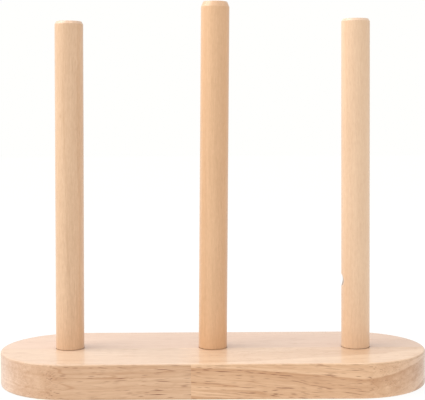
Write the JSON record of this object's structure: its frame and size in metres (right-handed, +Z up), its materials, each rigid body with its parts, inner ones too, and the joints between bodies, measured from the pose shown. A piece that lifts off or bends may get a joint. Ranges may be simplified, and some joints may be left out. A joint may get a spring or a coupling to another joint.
{
  "type": "mug tree",
  "caption": "Free-standing wooden cup stand: a thick round-ended board with upright dowel pegs in a row along its centre line, the middle one taller. The pegs lift out.",
  "frame": {"origin": "centre of the board's underside, on the surface that the stand rests on", "axes": "+X along the row of pegs, +Y across the board from its front edge to its back edge, +Z up along the pegs"},
  "size_m": [0.3, 0.105, 0.2682],
  "materials": {
    "board_front_left": "clear satin lacquer over pale rubberwood",
    "board_front_right": "clear satin lacquer over warmer rubberwood",
    "board_rear": "clear satin lacquer over pale rubberwood",
    "peg_left": "clear satin lacquer over straight-grained dowel",
    "peg_middle": "clear satin lacquer over warm straight-grained dowel",
    "peg_right": "clear satin lacquer over pale straight-grained dowel"
  },
  "bodies": {
    "base": {"front_left_stave": "board_front_left", "front_right_stave": "board_front_right", "rear_stave": "board_rear"},
    "left_peg": {"left_peg": "peg_left"},
    "middle_peg": {"middle_peg": "peg_middle"},
    "right_peg": {"right_peg": "peg_right"}
  },
  "joints": [
    {"name": "left_peg_lift", "type": "slide", "parent": "base", "child": "left_peg", "axis": [0.007, 0, 1], "range_m": [0, 0.03]},
    {"name": "middle_peg_lift", "type": "slide", "parent": "base", "child": "middle_peg", "axis": [0.0122, 0, 0.9999], "range_m": [0, 0.03]},
    {"name": "right_peg_lift", "type": "slide", "parent": "base", "child": "right_peg", "axis": [0, 0, 1], "range_m": [0, 0.03]}
  ]
}
